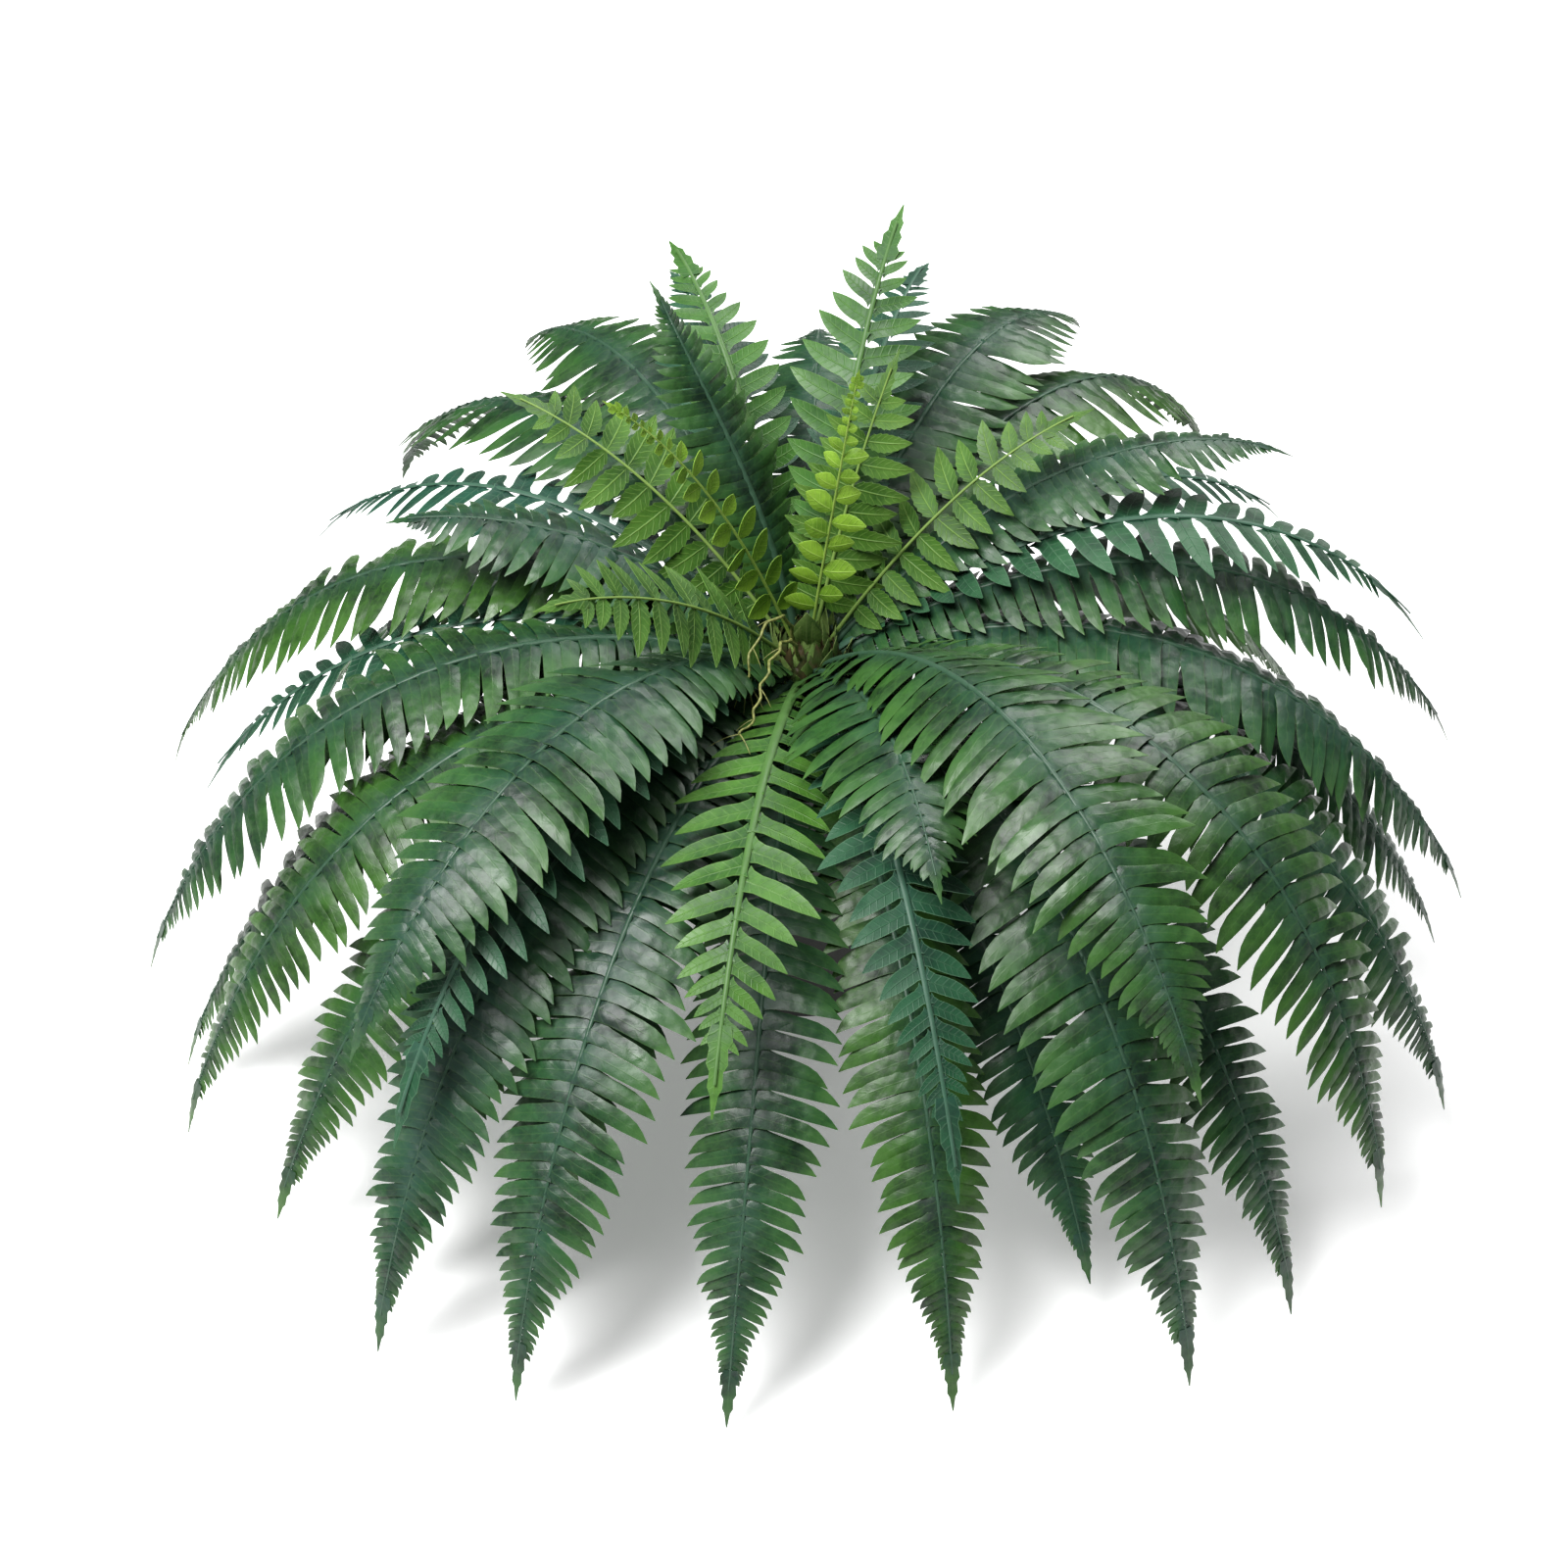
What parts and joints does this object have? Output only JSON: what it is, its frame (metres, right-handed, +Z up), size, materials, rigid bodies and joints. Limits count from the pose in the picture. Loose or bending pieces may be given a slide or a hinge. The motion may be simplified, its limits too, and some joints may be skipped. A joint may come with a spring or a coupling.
{
  "type": "potted fern",
  "caption": "Full bushy fern with arching feather-shaped fronds over a plain round tapered plant pot.",
  "frame": {"origin": "centre of the pot's flat underside", "axes": "+Z up; -Y is the front that faces the viewer; +X to the viewer's right"},
  "size_m": [1.0053, 0.9533, 0.5936],
  "materials": {
    "broad_leaf": "deep green pressed leaf cloth with a soft wax sheen",
    "strap_leaf": "blue-green pressed leaf cloth, satin",
    "light_leaf": "fresh green pressed leaf cloth, satin",
    "leaflet_leaf": "yellow-green pressed leaf cloth, veined, matte",
    "button_leaf": "yellow-green moulded leaflets, satin",
    "sheath_leaf": "pale green, satin",
    "aerial_root": "olive, fine bark-like grain",
    "crown_husk": "brown-green fibrous knot of stem bases",
    "soil_mix": "dark loose potting soil, fully matte",
    "pot_plastic": "charcoal moulded plastic, fine satin grain"
  },
  "bodies": {
    "root": {"aerial_root_01": "aerial_root", "aerial_root_02": "aerial_root", "broad_frond_01": "broad_leaf", "broad_frond_02": "broad_leaf", "broad_frond_03": "broad_leaf", "broad_frond_04": "broad_leaf", "broad_frond_05": "broad_leaf", "broad_frond_06": "broad_leaf", "broad_frond_07": "broad_leaf", "broad_frond_08": "broad_leaf", "broad_frond_09": "broad_leaf", "broad_frond_10": "broad_leaf", "broad_frond_11": "broad_leaf", "broad_frond_12": "broad_leaf", "broad_frond_13": "broad_leaf", "broad_frond_14": "broad_leaf", "broad_frond_15": "broad_leaf", "broad_frond_16": "broad_leaf", "broad_frond_17": "broad_leaf", "broad_frond_18": "broad_leaf", "broad_frond_19": "broad_leaf", "broad_frond_20": "broad_leaf", "broad_frond_21": "broad_leaf", "broad_frond_22": "broad_leaf", "broad_frond_23": "broad_leaf", "broad_frond_24": "broad_leaf", "broad_frond_25": "broad_leaf", "broad_frond_26": "broad_leaf", "broad_frond_27": "broad_leaf", "broad_frond_28": "broad_leaf", "broad_frond_29": "broad_leaf", "broad_frond_30": "broad_leaf", "broad_frond_31": "broad_leaf", "broad_frond_32": "broad_leaf", "broad_frond_33": "broad_leaf", "broad_frond_34": "broad_leaf", "broad_frond_35": "broad_leaf", "broad_frond_36": "broad_leaf", "button_spray_01": "button_leaf", "button_spray_02": "button_leaf", "crown": "crown_husk", "leaflet_spray_01": "leaflet_leaf", "leaflet_spray_02": "leaflet_leaf", "leaflet_spray_03": "leaflet_leaf", "leaflet_spray_04": "leaflet_leaf", "light_frond_01": "light_leaf", "light_frond_02": "light_leaf", "light_frond_03": "light_leaf", "light_frond_04": "light_leaf", "pot": "pot_plastic", "sheath_01": "sheath_leaf", "soil": "soil_mix", "strap_frond_01": "strap_leaf", "strap_frond_02": "strap_leaf", "strap_frond_03": "strap_leaf", "strap_frond_04": "strap_leaf", "strap_frond_05": "strap_leaf", "strap_frond_06": "strap_leaf", "strap_frond_07": "strap_leaf", "strap_frond_08": "strap_leaf"}
  },
  "joints": []
}
